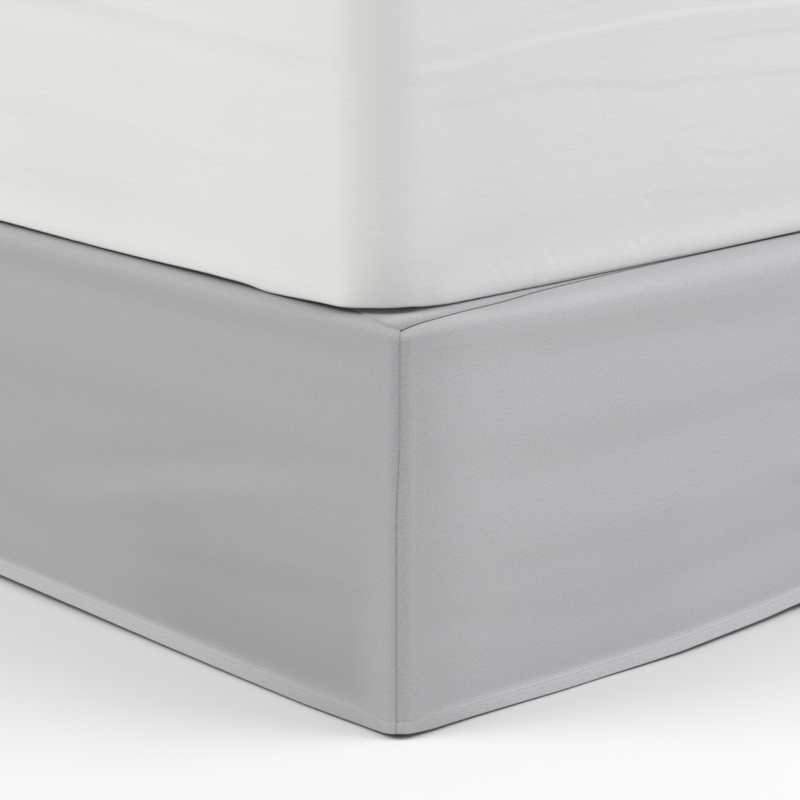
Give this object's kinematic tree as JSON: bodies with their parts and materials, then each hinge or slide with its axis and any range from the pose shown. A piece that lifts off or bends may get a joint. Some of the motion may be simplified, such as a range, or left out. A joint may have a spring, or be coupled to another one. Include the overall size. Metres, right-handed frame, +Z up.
{
  "type": "bed skirt on a box spring and mattress",
  "caption": "Tailored grey bed skirt: a flat deck cloth with three smooth hanging drops, on a box spring and frame under a plain mattress.",
  "frame": {"origin": "on the floor under the middle of the bed base", "axes": "+Z up, +Y towards the open head end, -Y towards the foot drop, +X to the bed's right side"},
  "size_m": [1.5552, 2.0504, 0.7337],
  "materials": {
    "skirt_cloth": "smooth fine weave with a faint sheen",
    "mattress_cover": "smooth matt cotton",
    "box_ticking": "plain matt ticking",
    "frame_steel": "satin black paint",
    "glide_plastic": "matt"
  },
  "bodies": {
    "root": {"deck": "skirt_cloth", "foot_drop": "skirt_cloth", "left_drop": "skirt_cloth", "right_drop": "skirt_cloth", "mattress": "mattress_cover", "box_spring": "box_ticking", "side_rail_left": "frame_steel", "side_rail_right": "frame_steel", "cross_rail_head": "frame_steel", "cross_rail_middle": "frame_steel", "cross_rail_foot": "frame_steel", "leg_head_left": "frame_steel", "leg_head_right": "frame_steel", "leg_foot_left": "frame_steel", "leg_foot_right": "frame_steel", "leg_middle": "frame_steel", "glide_head_left": "glide_plastic", "glide_head_right": "glide_plastic", "glide_foot_left": "glide_plastic", "glide_foot_right": "glide_plastic", "glide_middle": "glide_plastic"}
  },
  "joints": []
}
